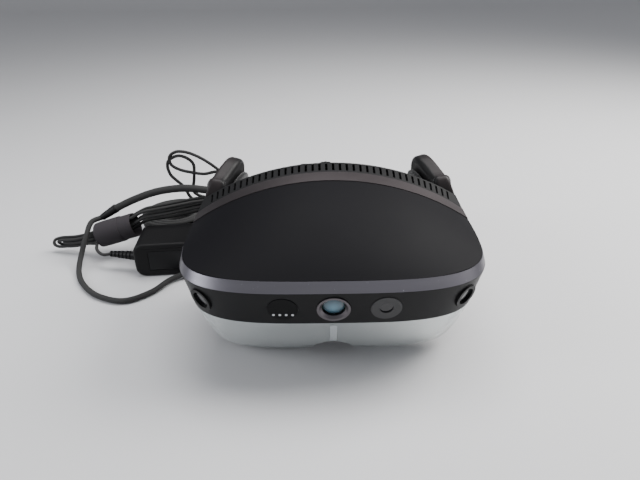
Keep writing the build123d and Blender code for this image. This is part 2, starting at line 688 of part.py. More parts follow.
HANK_SECTIONS = (       # X, Y, Z of the centre, half depth, half height
    (-258.0, 126.5, 9.0, 2.0, 3.0),
    (-251.0, 126.0, 9.5, 5.0, 4.5),
    (-232.0, 122.5, 12.0, 5.5, 5.0),
    (-216.0, 119.5, 17.0, 5.6, 5.6),
    (-206.0, 119.0, 20.6, 8.0, 8.0),
    (-190.0, 119.0, 25.6, 9.0, 9.0),
    (-177.0, 119.0, 31.0, 8.5, 8.8),
    (-165.0, 119.0, 38.6, 7.5, 7.6),
    (-145.0, 120.0, 41.4, 8.0, 8.4),
    (-120.0, 124.0, 45.0, 8.0, 8.4),
    (-104.0, 128.0, 46.5, 6.0, 6.6),
    (-98.0, 130.0, 47.0, 3.0, 3.4),
)
WRAP_ENDS = ((-208.0, 119.0, 20.2), (-174.0, 119.0, 30.4))
WRAP_RADIUS = 11.6
WRAP_BORE = 11.0


def route_path(route, name):
    """Straight runs joined by tangent arcs as large as the runs allow."""
    points = [Vector(*point) for point in route]
    radii = []
    for before, here, after in zip(points, points[1:], points[2:]):
        turn = radians((here - before).get_angle(after - here))
        shorter = min((here - before).length, (after - here).length)
        radii.append(0.45 * shorter / tan(turn / 2))
    print(name, "radii", [round(radius, 1) for radius in radii])
    return FilletPolyline(*points, radius=radii)


def cord_tube(route, radius, name):
    path = route_path(route, name)
    start = path @ 0
    section = Plane(origin=start, z_dir=path % 0) * Circle(radius)
    tube = sweep(section, path=path)
    share = tube.volume / (pi * radius**2 * path.length)
    print(name, "length", round(path.length, 1), "volume share", round(share, 4))
    return tube


def taper(start, end, start_radius, end_radius):
    axis = Vector(*end) - Vector(*start)
    place = Plane(origin=start, z_dir=axis)
    near = place * Circle(start_radius)
    far = Plane(origin=end, z_dir=axis) * Circle(end_radius)
    return loft([near, far])


def ribbed_relief(start, end, start_radius, end_radius, ribs):
    """Tapered strain relief with rings cut around it."""
    body = taper(start, end, start_radius, end_radius)
    origin = Vector(*start)
    axis = Vector(*end) - origin
    for index in range(ribs):
        share = (index + 0.8) / (ribs + 0.6)
        radius = start_radius + (end_radius - start_radius) * share
        place = Plane(origin=origin + axis * share, z_dir=axis)
        ring = Circle(radius + 1) - Circle(radius - 0.9)
        body -= extrude(place * ring, axis.length / ribs * 0.42)
    return body


def adapter_block(grow, low_z, high_z):
    length, depth, high = ADAPTER_SIZE
    outline = RectangleRounded(length + 2 * grow, high + 2 * grow, ADAPTER_CORNER + grow)
    block = Plane(origin=(0, depth / 2 + grow, high / 2), x_dir=(1, 0, 0), z_dir=(0, -1, 0)) * outline
    block = extrude(block, depth + 2 * grow)
    if grow == 0:
        block = fillet(block.faces().sort_by(Axis.Y)[0].edges(), 2.5)
        block = fillet(block.faces().sort_by(Axis.Y)[-1].edges(), 2.5)
    return block & box_between((-80, -60, low_z), (80, 60, high_z))


def adapter_parts():
    length, depth, high = ADAPTER_SIZE
    half = length / 2
    case = adapter_block(0, 0, ADAPTER_SEAM_Z) - adapter_block(-ADAPTER_WALL, 0, 40)
    lid = adapter_block(0, ADAPTER_SEAM_Z + 0.2, high) - adapter_block(-ADAPTER_WALL, 0, 40)
    inlet_hole = box_between((half - 20, -8, 6), (half + 5, 8, 17))
    case -= inlet_hole
    case -= rod((-half - 5, -8.5, 14.9), (-half + 5, -8.5, 14.9), 3.5)
    label_face = box_between((-24, -depth / 2 - 1, 6), (28, -depth / 2 + 0.5, 24))
    case -= label_face
    inlet = box_between((half - 18, -7.8, 6.2), (half - 0.3, 7.8, 16.8))
    inlet -= box_between((half - 14, -6, 7.6), (half + 2, 6, 15.4))
    for y in (-3.2, 3.2):
        inlet += rod((half - 15, y, 11.5), (half - 3, y, 11.5), 1.2)
    board = box_between((-half + 6, -15, 5.4), (half - 19, 15, 7.0))
    board += box_between((-18, -11, 6.9), (4, 11, 23))
    board += box_between((-28, -6, 6.9), (-20, 6, 18))
    parts = {
        "adapter_case": case,
        "adapter_lid": lid,
        "adapter_inlet": inlet,
        "adapter_board": board,
    }
    return {name: ADAPTER_PLACE * shape for name, shape in parts.items()}


def cord_parts():
    hank = loft([
        Plane(origin=(x, y, z), x_dir=(0, 1, 0), z_dir=(1, 0, 0)) * Ellipse(deep, high)
        for x, y, z, deep, high in HANK_SECTIONS
    ])
    band = LEAD_RADIUS * COIL_TURNS_ACROSS
    coil = extrude(Circle(COIL_RADIUS + band) - Circle(COIL_RADIUS - band), 2 * LEAD_RADIUS * COIL_LAYERS)
    coil = fillet(coil.edges(), 2)
    plug_x, plug_y, plug_z = DATA_PLUG_START
    body_y = plug_y + 8.4
    data_plug = box_between((plug_x - 7.5, body_y, plug_z - 4.3), (plug_x + 7.5, body_y + 22, plug_z + 4.3))
    data_plug = fillet(data_plug.edges().filter_by(Axis.Y), 2)
    data_plug += rod(DATA_PLUG_START, (plug_x, body_y + 1, plug_z), LEAD_RADIUS + 0.4)
    data_plug += box_between(
        (plug_x - 6, body_y + 21, plug_z - 2.3), (plug_x + 6, plug_y + DATA_PLUG_LENGTH + 6, plug_z + 2.3)
    )
    power_end = Vector(*POWER_PLUG_END)
    power_start = Vector(*LOOP_ROUTE[-1])
    power_plug = rod(power_start, power_end - Vector(0, 10, 0), 4.0)
    power_plug += rod(power_start, power_end, 2.6)
    relief_end = POWER_ROUTE[0]
    relief_start = (ADAPTER_PLACE * Pos(-ADAPTER_SIZE[0] / 2 - 0.6, -8.5, 14.9)).position
    return {
        "cable_gland": ribbed_relief(GLAND_START, TETHER_ROUTE[0], 5.6, 4.2, 6),
        "tether_cable": cord_tube(TETHER_ROUTE, TETHER_RADIUS, "tether_cable"),
        "cable_splitter": taper(TETHER_ROUTE[-1], SPLITTER_END, 4.0, 3.0),
        "data_lead": cord_tube(DATA_ROUTE, LEAD_RADIUS, "data_lead"),
        "data_coil": Pos(*COIL_CENTRE, 0) * coil,
        "data_plug": data_plug,
        "power_relief": ribbed_relief(relief_start, relief_end, 4.2, 2.6, 6),
        "power_lead": cord_tube(POWER_ROUTE, POWER_RADIUS, "power_lead"),
        "power_hank": hank,
        "hank_wrap": rod(*WRAP_ENDS, WRAP_RADIUS) - rod(*WRAP_ENDS, WRAP_BORE),
        "power_loops": cord_tube(LOOP_ROUTE, POWER_RADIUS, "power_loops"),
        "power_plug": power_plug,
    }


# ---- assembly -----------------------------------------------------------
def all_parts():
    vent = crown_shell(REAR_TRIM_END_Y + GAP, HEAD_BACK - GAP) - vent_slots()
    arm = right_arm()
    arm_pad = right_arm_pad()
    pad = rear_pad()
    parts = {
        "front_cover": crown_shell(-60, COVER_END_Y),
        "front_trim": front_trim(),
        "rear_trim": crown_shell(COVER_END_Y + GAP, REAR_TRIM_END_Y, 0.4),
        "vent_grille": vent,
        "sensor_bar": sensor_bar(),
        "visor": visor(),
        "lower_housing": lower_housing(),
        "forehead_pad": forehead_pad(),
        "forehead_pad_plate": forehead_plate(),
        "right_arm": arm,
        "left_arm": mirrored(arm) - taper(GLAND_START, TETHER_ROUTE[0], 5.75, 4.35),
        "right_arm_pad": arm_pad,
        "left_arm_pad": mirrored(arm_pad),
        "arm_screws": arm_screw_group(),
        "rear_yoke": yoke_band(),
        "dial_housing": dial_housing(),
        "rear_pad_right": pad,
        "rear_pad_left": mirrored(pad),
        "dial_knob": dial_knob(),
        "dial_pinion": dial_pinion(),
        "upper_rack": rack(1),
        "lower_rack": rack(-1),
    }
    parts.update(sensor_parts())
    parts.update(inner_parts())
    parts.update({name: button(name) for name in BUTTON_Y})
    parts.update(adapter_parts())
    parts.update(cord_parts())
    return parts


CORD_NODES = (
    "cable_gland", "tether_cable", "cable_splitter", "data_lead", "data_coil", "data_plug",
    "power_lead", "power_hank", "hank_wrap", "power_loops", "power_plug", "power_relief",
    "adapter_case", "adapter_lid", "adapter_inlet", "adapter_board",
)


def row_origin(parts):
    """Middle of the object's box without its cords, on the table."""
    boxes = [shape.bounding_box() for name, shape in parts.items() if name not in CORD_NODES]
    low = [min(getattr(box.min, axis) for box in boxes) for axis in "XYZ"]
    high = [max(getattr(box.max, axis) for box in boxes) for axis in "XYZ"]
    return Vector((low[0] + high[0]) / 2, (low[1] + high[1]) / 2, low[2])


def main():
    os.makedirs("parts", exist_ok=True)
    parts = all_parts()
    origin = row_origin(parts)
    print("design origin lies at", -origin)
    for name, shape in parts.items():
        export_step(shape.moved(Location(-origin)), os.path.join("parts", name + ".step"))
    print(len(parts), "nodes")


main()
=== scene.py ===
"""Builds the looks of a tethered see-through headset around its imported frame."""
import json
import math
import bpy
import bmesh
from mathutils import Matrix, Vector

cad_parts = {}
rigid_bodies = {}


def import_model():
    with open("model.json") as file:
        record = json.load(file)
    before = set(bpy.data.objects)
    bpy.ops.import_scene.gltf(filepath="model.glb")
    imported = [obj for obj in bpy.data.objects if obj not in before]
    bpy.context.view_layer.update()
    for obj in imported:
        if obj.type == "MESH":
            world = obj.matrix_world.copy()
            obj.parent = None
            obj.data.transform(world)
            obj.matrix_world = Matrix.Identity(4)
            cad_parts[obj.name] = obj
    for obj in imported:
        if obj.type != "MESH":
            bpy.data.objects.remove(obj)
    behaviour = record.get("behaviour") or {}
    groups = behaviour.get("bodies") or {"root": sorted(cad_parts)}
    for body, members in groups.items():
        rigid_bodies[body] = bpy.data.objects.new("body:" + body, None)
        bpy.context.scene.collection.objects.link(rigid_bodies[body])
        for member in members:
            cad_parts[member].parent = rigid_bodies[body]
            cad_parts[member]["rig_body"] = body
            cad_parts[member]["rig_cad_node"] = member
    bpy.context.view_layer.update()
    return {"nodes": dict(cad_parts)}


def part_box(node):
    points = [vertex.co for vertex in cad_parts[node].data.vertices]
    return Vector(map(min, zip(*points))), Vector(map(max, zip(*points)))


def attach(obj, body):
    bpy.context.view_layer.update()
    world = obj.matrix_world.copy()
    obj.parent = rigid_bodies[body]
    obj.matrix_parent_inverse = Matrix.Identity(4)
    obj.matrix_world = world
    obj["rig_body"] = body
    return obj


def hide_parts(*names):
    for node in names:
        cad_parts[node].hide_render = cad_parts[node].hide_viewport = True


bl_info = {
    "name": "See-through Headset",
    "version": (1, 0, 0),
    "blender": (4, 5, 0),
    "location": "3D View > Sidebar > Headset",
    "description": "Finishes, pads, cords and stage of a tethered headset",
    "category": "Object",
}

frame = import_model()
MM = 0.001
SHIFT_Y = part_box("dial_knob")[1].y - 0.268      # row frame from the design frame


def place(point):
    """A design point in millimetres as a point of the row frame in metres."""
    x, y, z = point
    return Vector((x * MM, y * MM + SHIFT_Y, z * MM))


# ---- what a user may change ---------------------------------------------
def colour_prop(name, text, value):
    return bpy.props.FloatVectorProperty(
        name=name, description=text, default=value, size=3, min=0, max=1, subtype="COLOR"
    )


def length_prop(name, text, value):
    return bpy.props.FloatProperty(name=name, description=text, default=value, min=0, unit="LENGTH")


class HeadsetColours(bpy.types.PropertyGroup):
    cover: colour_prop("Cover", "Matte dome", (0.0035, 0.0033, 0.0046))
    trim: colour_prop("Trim", "Brushed front trim", (0.15, 0.145, 0.165))
    rear_trim: colour_prop("Rear trim", "Warm grey arc", (0.062, 0.054, 0.056))
    bar: colour_prop("Bar", "Sensor bar", (0.0060, 0.0060, 0.0066))
    arm: colour_prop("Arm strip", "Outer edge of the arms", (0.022, 0.0185, 0.0193))
    # Painted shade for the faces of the arms that point inwards.
    arm_inner_shade: colour_prop("Arm inner", "Inner face of the arms", (0.010, 0.0098, 0.0103))
    visor: colour_prop("Visor", "Clear coated sheet", (0.93, 0.975, 0.972))
    cord: colour_prop("Cord", "Cable jackets", (0.0058, 0.0056, 0.0064))
    fabric: colour_prop("Fabric", "Knitted pad covers", (0.0085, 0.0085, 0.0095))
    floor: colour_prop("Floor", "Pale table", (0.60, 0.60, 0.61))


class HeadsetSizes(bpy.types.PropertyGroup):
    tether: length_prop("Tether", "Diameter of the thick cable", 0.0068)
    lead: length_prop("Data lead", "Diameter of the data lead", 0.0046)
    power: length_prop("Power lead", "Diameter of the power lead", 0.0028)
    voxel: length_prop("Pad voxel", "Voxel of the forehead pad; the others are finer", 0.00225)
    swell: length_prop("Pad swell", "Most that the forehead pad's skin moves", 0.0015)


def colours():
    return bpy.context.scene.headset_colours


def sizes():
    return bpy.context.scene.headset_sizes


# ---- shader groups ------------------------------------------------------
def new_group(name, inputs, outputs):
    group = bpy.data.node_groups.new(name, "ShaderNodeTree")
    for label, kind, value in inputs:
        socket = group.interface.new_socket(label, in_out="INPUT", socket_type=kind)
        socket.default_value = value
    for label, kind in outputs:
        group.interface.new_socket(label, in_out="OUTPUT", socket_type=kind)
    return group, group.nodes.new("NodeGroupInput"), group.nodes.new("NodeGroupOutput")


def math_node(tree, operation, first, second, clamp=False):
    node = tree.nodes.new("ShaderNodeMath")
    node.operation = operation
    node.use_clamp = clamp
    for index, value in enumerate((first, second)):
        if isinstance(value, (int, float)):
            node.inputs[index].default_value = value
        else:
            tree.links.new(value, node.inputs[index])
    return node.outputs[0]


def grain_group():
    """Fine moulded grain: a height and a slight change of roughness."""
    group, given, made = new_group(
        "moulded_grain",
        (("Scale", "NodeSocketFloat", 2200.0), ("Roughness", "NodeSocketFloat", 0.5),
         ("Spread", "NodeSocketFloat", 0.08)),
        (("Height", "NodeSocketFloat"), ("Roughness", "NodeSocketFloat"), ("Smudge", "NodeSocketFloat")),
    )
    coords = group.nodes.new("ShaderNodeTexCoord")
    fine = group.nodes.new("ShaderNodeTexNoise")
    fine.inputs["Detail"].default_value = 3
    broad = group.nodes.new("ShaderNodeTexNoise")
    broad.inputs["Scale"].default_value = 26
    broad.inputs["Detail"].default_value = 5
    group.links.new(coords.outputs["Object"], fine.inputs["Vector"])
    group.links.new(coords.outputs["Object"], broad.inputs["Vector"])
    group.links.new(given.outputs["Scale"], fine.inputs["Scale"])
    centred = math_node(group, "SUBTRACT", broad.outputs["Fac"], 0.5)
    change = math_node(group, "MULTIPLY", centred, given.outputs["Spread"])
    rough = math_node(group, "ADD", change, given.outputs["Roughness"], clamp=True)
    group.links.new(fine.outputs["Fac"], made.inputs["Height"])
    group.links.new(rough, made.inputs["Roughness"])
    group.links.new(broad.outputs["Fac"], made.inputs["Smudge"])
    return group


def brushed_group():
    """Fine lines along the trim with a few small nicks."""
    group, given, made = new_group(
        "brushed_lines",
        (("Roughness", "NodeSocketFloat", 0.3), ("Nicks", "NodeSocketFloat", 0.75)),
        (("Height", "NodeSocketFloat"), ("Roughness", "NodeSocketFloat"), ("Nick", "NodeSocketFloat")),
    )
    coords = group.nodes.new("ShaderNodeTexCoord")
    stretch = group.nodes.new("ShaderNodeMapping")
    stretch.inputs["Scale"].default_value = (25, 25, 3500)
    lines = group.nodes.new("ShaderNodeTexNoise")
    lines.inputs["Scale"].default_value = 1.0
    lines.inputs["Detail"].default_value = 2
    spots = group.nodes.new("ShaderNodeTexNoise")
    spots.inputs["Scale"].default_value = 420
    spots.inputs["Detail"].default_value = 4
    group.links.new(coords.outputs["Object"], stretch.inputs["Vector"])
    group.links.new(stretch.outputs[0], lines.inputs["Vector"])
    group.links.new(coords.outputs["Object"], spots.inputs["Vector"])
    above = math_node(group, "GREATER_THAN", spots.outputs["Fac"], given.outputs["Nicks"])
    change = math_node(group, "MULTIPLY", lines.outputs["Fac"], 0.14)
    rough = math_node(group, "ADD", change, given.outputs["Roughness"], clamp=True)
    group.links.new(lines.outputs["Fac"], made.inputs["Height"])
    group.links.new(rough, made.inputs["Roughness"])
    group.links.new(above, made.inputs["Nick"])
    return group


def knit_group():
    """Small knitted loops: a height, and a mask for painted shade in the gaps and a painted highlight on the
    loop tops.
    """
    group, given, made = new_group(
        "knit",
        (("Scale", "NodeSocketFloat", 900.0),),
        (("Height", "NodeSocketFloat"), ("GapShade", "NodeSocketFloat")),
    )
    coords = group.nodes.new("ShaderNodeTexCoord")
    cells = group.nodes.new("ShaderNodeTexVoronoi")
    group.links.new(coords.outputs["Object"], cells.inputs["Vector"])
    group.links.new(given.outputs["Scale"], cells.inputs["Scale"])
    height = math_node(group, "SUBTRACT", 1.0, cells.outputs["Distance"], clamp=True)
    gap_shade = math_node(group, "MULTIPLY", cells.outputs["Distance"], 1.2, clamp=True)
    group.links.new(height, made.inputs["Height"])
    group.links.new(gap_shade, made.inputs["GapShade"])
    return group


GROUPS = {}


def group_node(tree, name, maker, **values):
    if name not in GROUPS:
        GROUPS[name] = maker()
    node = tree.nodes.new("ShaderNodeGroup")
    node.node_tree = GROUPS[name]
    for label, value in values.items():
        node.inputs[label].default_value = value
    return node


SPECULAR = 0.2      # matte plastics and rubber reflect less than a polished face


def blank_material(name, colour, roughness, metallic=0.0):
    material = bpy.data.materials.new(name)
    material.use_nodes = True
    shader = material.node_tree.nodes["Principled BSDF"]
    shader.inputs["Base Color"].default_value = (*colour, 1)
    shader.inputs["Roughness"].default_value = roughness
    shader.inputs["Metallic"].default_value = metallic
    shader.inputs["Specular IOR Level"].default_value = 0.5 if metallic else SPECULAR
    return material, material.node_tree, shader


def bump(tree, shader, height, strength, distance):
    node = tree.nodes.new("ShaderNodeBump")
    node.inputs["Strength"].default_value = strength
    node.inputs["Distance"].default_value = distance
    tree.links.new(height, node.inputs["Height"])
    tree.links.new(node.outputs["Normal"], shader.inputs["Normal"])


def tinted(tree, shader, mask, first, second):
    """Base colour between two colours by a mask."""
    mix = tree.nodes.new("ShaderNodeMix")
    mix.data_type = "RGBA"
    mix.inputs["A"].default_value = (*first, 1)
    mix.inputs["B"].default_value = (*second, 1)
    tree.links.new(mask, mix.inputs["Factor"])
    tree.links.new(mix.outputs["Result"], shader.inputs["Base Color"])


def lighter(colour, share):
    return tuple(min(1.0, channel * share) for channel in colour)


def moulded(name, colour, roughness=0.5, grain=2200.0, depth=0.00003, spread=0.1, coat=0.0, gloss=SPECULAR):
    """Moulded plastic or rubber with grain and faint smudges."""
    material, tree, shader = blank_material(name, colour, roughness)
    grain_node = group_node(
        tree, "moulded_grain", grain_group, Scale=grain, Roughness=roughness, Spread=spread
    )
    tree.links.new(grain_node.outputs["Roughness"], shader.inputs["Roughness"])
    bump(tree, shader, grain_node.outputs["Height"], 0.5, depth)
    tinted(tree, shader, grain_node.outputs["Smudge"], lighter(colour, 0.86), lighter(colour, 1.16))
    shader.inputs["Specular IOR Level"].default_value = gloss
    if coat:
        shader.inputs["Coat Weight"].default_value = coat
        shader.inputs["Coat Roughness"].default_value = 0.2
    return material


def brushed(name, colour, roughness, nicks=0.72):
    """Satin metal with fine lines along it and bright nicks."""
    material, tree, shader = blank_material(name, colour, roughness, 0.92)
    lines = group_node(tree, "brushed_lines", brushed_group, Roughness=roughness, Nicks=nicks)
    tree.links.new(lines.outputs["Roughness"], shader.inputs["Roughness"])
    tinted(tree, shader, lines.outputs["Nick"], colour, lighter(colour, 2.2))
    bump(tree, shader, lines.outputs["Height"], 0.25, 0.00002)
    return material


def knitted(name, colour):
    material, tree, shader = blank_material(name, colour, 0.9)
    knit = group_node(tree, "knit", knit_group, Scale=780.0)
    # Painted shade and highlight: the gaps between the loops are darkened and the loop tops lightened.
    tinted(tree, shader, knit.outputs["GapShade"], lighter(colour, 1.7), lighter(colour, 0.35))
    bump(tree, shader, knit.outputs["Height"], 0.7, 0.0004)
    shader.inputs["Sheen Weight"].default_value = 0.35
    shader.inputs["Sheen Roughness"].default_value = 0.5
    return material


def clear_sheet(name, colour, roughness=0.02, clearness=1.0):
    """Thin clear sheet: mostly see-through, with coated reflections."""
    material, tree, shader = blank_material(name, colour, roughness)
    shader.inputs["Transmission Weight"].default_value = clearness
    shader.inputs["Specular IOR Level"].default_value = 0.5
    shader.inputs["IOR"].default_value = 1.2
    shader.inputs["Coat Weight"].default_value = 0.4
    shader.inputs["Coat Roughness"].default_value = 0.04
    return material


def lens_with_painted_glow(name, centre_node, inner, outer):
    """Lens with a painted blue glow in its middle that fades to a darker rim."""
    material, tree, shader = blank_material(name, inner, 0.08)
    low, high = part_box(centre_node)
    middle = (low + high) / 2
    coords = tree.nodes.new("ShaderNodeTexCoord")
    centred = tree.nodes.new("ShaderNodeMapping")
    centred.inputs["Location"].default_value = -middle
    length = tree.nodes.new("ShaderNodeVectorMath")
    length.operation = "LENGTH"
    tree.links.new(coords.outputs["Object"], centred.inputs["Vector"])
    tree.links.new(centred.outputs[0], length.inputs[0])
    reach = max(high.x - low.x, high.z - low.z) / 2
    mask = math_node(tree, "DIVIDE", length.outputs["Value"], reach, clamp=True)
    mask = math_node(tree, "POWER", mask, 1.6, clamp=True)
    # Painted glow: bright blue in the middle, darker towards the rim.
    tinted(tree, shader, mask, inner, outer)
    shader.inputs["Coat Weight"].default_value = 1.0
    shader.inputs["Coat Roughness"].default_value = 0.02
    return material


def arm_material(name, side):
    """Warm grey outer strip with painted shade on the faces that point inwards."""
    shade = colours()
    material, tree, shader = blank_material(name, shade.arm, 0.42)
    shader.inputs["Specular IOR Level"].default_value = 0.16
    grain_node = group_node(tree, "moulded_grain", grain_group, Scale=2600.0, Roughness=0.42)
    coords = tree.nodes.new("ShaderNodeTexCoord")
    split = tree.nodes.new("ShaderNodeSeparateXYZ")
    tree.links.new(coords.outputs["Normal"], split.inputs[0])
    # Painted shade: faces that point inwards are darkened.
    inward = math_node(tree, "MULTIPLY", split.outputs["X"], -side)
    mask = math_node(tree, "MULTIPLY_ADD", inward, 4.0, clamp=True)
    mask.node.inputs[2].default_value = -0.6
    tinted(tree, shader, mask, shade.arm, shade.arm_inner_shade)
    tree.links.new(grain_node.outputs["Roughness"], shader.inputs["Roughness"])
    bump(tree, shader, grain_node.outputs["Height"], 0.4, 0.00003)
    return material


def give(material, *nodes):
    """Assigns a finish to CAD nodes or to new pieces."""
    for node in nodes:
        piece = frame["nodes"][node] if isinstance(node, str) else node
        piece.data.materials.clear()
        piece.data.materials.append(material)


# ---- mesh helpers -------------------------------------------------------
def only(piece):
    bpy.ops.object.select_all(action="DESELECT")
    piece.select_set(True)
    bpy.context.view_layer.objects.active = piece


def apply_modifier(piece, kind, name, **values):
    modifier = piece.modifiers.new(name, kind)
    for key, value in values.items():
        setattr(modifier, key, value)
    only(piece)
    bpy.ops.object.modifier_apply(modifier=modifier.name)


def settle(piece, name):
    """Names a new piece and puts its place into its mesh."""
    piece.name = name
    only(piece)
    bpy.ops.object.transform_apply(location=True, rotation=True, scale=True)
    return piece


def smooth(piece, angle=35):
    only(piece)
    bpy.ops.object.shade_smooth_by_angle(angle=math.radians(angle))


def close_mesh(mesh, merge=0.0):
    """Joins points closer than merge and turns every face outwards."""
    work = bmesh.new()
    work.from_mesh(mesh)
    if merge:
        bmesh.ops.remove_doubles(work, verts=work.verts, dist=merge)
    bmesh.ops.recalc_face_normals(work, faces=work.faces)
    work.to_mesh(mesh)
    work.free()


def merged_copy(node, name):
    """A closed copy of a CAD node's mesh."""
    piece = frame["nodes"][node].copy()
    piece.data = piece.data.copy()
    piece.name = name
    piece.parent = None
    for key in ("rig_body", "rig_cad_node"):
        if key in piece:
            del piece[key]
    bpy.context.scene.collection.objects.link(piece)
    close_mesh(piece.data, merge=0.00001)
    return piece


# ---- cord helpers -------------------------------------------------------
def through(points, step=2.5):
    """Evenly close points in millimetres on a smooth line through the given points."""
    ends = [Vector(points[0]) * 2 - Vector(points[1])]
    ends += [Vector(p) for p in points]
    ends.append(Vector(points[-1]) * 2 - Vector(points[-2]))
    line = []
    for i in range(1, len(ends) - 2):
        p0, p1, p2, p3 = ends[i - 1:i + 3]
        t1 = max((p1 - p0).length, 1e-6) ** 0.5
        t2 = t1 + max((p2 - p1).length, 1e-6) ** 0.5
        t3 = t2 + max((p3 - p2).length, 1e-6) ** 0.5
        count = max(1, round((p2 - p1).length / step))
        for k in range(count):
            t = t1 + (t2 - t1) * k / count
            a1 = p0.lerp(p1, t / t1)
            a2 = p1.lerp(p2, (t - t1) / (t2 - t1))
            a3 = p2.lerp(p3, (t - t2) / (t3 - t2))
            b1 = a1.lerp(a2, t / t2)
            b2 = a2.lerp(a3, (t - t1) / (t3 - t1))
            line.append(b1.lerp(b2, (t - t1) / (t2 - t1)))
    line.append(ends[-2])
    return line


def cord_curve(name, points, diameter):
    """A round cord along design points in millimetres; returns it and its length in metres."""
    line = [place(p) for p in through(points)]
    curve = bpy.data.curves.new(name, "CURVE")
    curve.dimensions = "3D"
    curve.bevel_depth = diameter / 2
    curve.bevel_resolution = 4
    curve.resolution_u = 2
    curve.use_fill_caps = True
    spline = curve.splines.new("NURBS")
    spline.points.add(len(line) - 1)
    for point, where in zip(spline.points, line):
        point.co = (*where, 1)
    spline.order_u = 3
    spline.use_endpoint_u = True
    cord = bpy.data.objects.new(name, curve)
    bpy.context.scene.collection.objects.link(cord)
    length = sum((b - a).length for a, b in zip(line, line[1:]))
    return cord, length


TETHER_ROUTE = (
    (-106.6, 131.4, 57.5), (-128, 131, 60), (-152, 130, 57.8), (-174, 129.2, 50.8), (-192.5, 128.6, 42.4),
)
DATA_ROUTE = (
    (-206.5, 128, 33.8), (-214.5, 121.8, 32.2), (-217.5, 110, 22), (-220.5, 99.5, 9), (-217.5, 84, 2.9),
    (-206, 64, 2.6), (-187, 46, 2.5), (-163, 38.5, 2.5), (-145, 51, 2.4), (-134, 68, 3), (-119, 77, 4.4),
    (-100, 78.5, 3.4), (-80, 88, 2.4), (-66, 106, 2.5), (-63, 128, 2.4), (-76, 144, 2.5), (-97, 147, 2.4),
    (-111, 150.5, 2.4), (-119, 159, 2.4),
)
COIL_CENTRE = (-152.0, 172.0)
COIL_PITCH = 4.75
COIL_RADIUS = 26.0
COIL_LAYERS = 4
COIL_START = -14.0      # degrees from the right, where the lead meets the outer ring
COIL_SHIFT = 45.0       # degrees in which a turn moves over to the next ring
COIL_GAP = 0.3
PLUG_START = (-126, 194, 6)
POWER_ROUTE = ((-190.5, 93.6, 14.6), (-199, 95.6, 12.6), (-206, 101.4, 14.6), (-208.2, 109, 16.8))
LOOP_ROUTE = (
    (-112, 134.5, 48.5), (-124, 136, 47.5), (-131, 138, 59), (-141.5, 138, 71), (-142, 138.4, 82.5),
    (-131, 138.2, 88), (-120, 138, 81.5), (-120.5, 138.2, 67), (-122.5, 139, 53), (-113, 143, 46),
    (-101, 147, 48), (-92, 147.5, 56), (-91.4, 144, 66), (-99, 141, 71.5), (-111, 138.6, 70.5),
    (-122, 137.6, 72.5), (-133, 137.8, 75.5), (-139.5, 138, 80), (-140, 138.2, 87), (-134, 138.4, 91.5),
    (-124, 138.2, 91), (-112, 138, 85.5), (-101, 140.5, 76), (-93, 149, 62), (-95, 158, 43),
    (-99, 161, 24), (-101, 168, 8), (-101, 181, 4.2),
)
# x, middle y and z, half depth and half height of the folded lead
HANK_SECTIONS = (
    (-258, 126.5, 9, 2, 3), (-251, 126, 9.5, 5, 4.5), (-232, 122.5, 12, 5.5, 5), (-216, 119.5, 17, 5.6, 5.6),
    (-206, 119, 20.6, 8, 8), (-190, 119, 25.6, 9, 9), (-177, 119, 31, 8.5, 8.8), (-165, 119, 38.6, 7.5, 7.6),
    (-145, 120, 41.4, 8, 8.4), (-120, 124, 45, 8, 8.4), (-104, 128, 46.5, 6, 6.6), (-98, 130, 47, 3, 3.4),
)
LANES = ((-0.45, -0.72), (0.45, 0.72), (-0.45, 0.72), (0.45, -0.72), (0.5, 0.0), (-0.5, 0.0))


def coil_points():
    """Turns of the coil, three rings across and four layers high, from the table up."""
    radii = [COIL_RADIUS + COIL_PITCH * k for k in (1, 0, -1)]
    points = []
    angle, radius, height = COIL_START, radii[0], 2.4

    def go(degrees, to_radius, to_height):
        nonlocal angle, radius, height
        count = max(3, round(degrees / 15))
        for k in range(1, count + 1):
            share = k / count
            ease = share * share * (3 - 2 * share)
            a = math.radians(angle + degrees * share)
            r = radius + (to_radius - radius) * ease
            h = height + (to_height - height) * ease
            points.append((COIL_CENTRE[0] + r * math.cos(a), COIL_CENTRE[1] + r * math.sin(a), h))
        angle, radius, height = angle + degrees, to_radius, to_height

    for layer in range(COIL_LAYERS):
        rings = radii if layer % 2 == 0 else radii[::-1]
        go(360 - 2 * COIL_SHIFT, rings[0], height)
        go(COIL_SHIFT, rings[1], height)
        go(360 - COIL_SHIFT, rings[1], height)
        go(COIL_SHIFT, rings[2], height)
        if layer < COIL_LAYERS - 1:
            go(360 - 2 * COIL_SHIFT, rings[2], height)
            go(COIL_SHIFT, rings[2], height + COIL_PITCH)
    # on along the outer ring, then outside it and down to the plug
    outside = radii[0] + COIL_PITCH
    go(229, radii[0], height)
    go(70, outside + COIL_GAP, 13.0)
    go(32, outside + COIL_GAP, 8.6)
    go(12, outside, 7.0)
    points.append((-122.4, 187.4, 6.2))
    points.append(PLUG_START)
    return points


def section_at(x):
    for low, high in zip(HANK_SECTIONS, HANK_SECTIONS[1:]):
        if low[0] <= x <= high[0]:
            share = (x - low[0]) / (high[0] - low[0])
            return [a + (b - a) * share for a, b in zip(low[1:], high[1:])]
    raise ValueError(f"no section of the hank at x {x}")


def lane_point(lane, x):
    """Where one strand of the hank is at a given x, wandering a little along it."""
    y, z, depth, height = section_at(x)
    across, up = LANES[lane]
    stray = 0.35 * math.sin(x / 13.0 + 2.1 * lane)
    return (x, y + across * depth + stray, z + up * height + 0.3 * math.cos(x / 17.0 + 1.7 * lane))


def strand(lane, start, end):
    count = max(1, round(abs(end - start) / 7))
    return [lane_point(lane, start + (end - start) * k / count) for k in range(count + 1)]


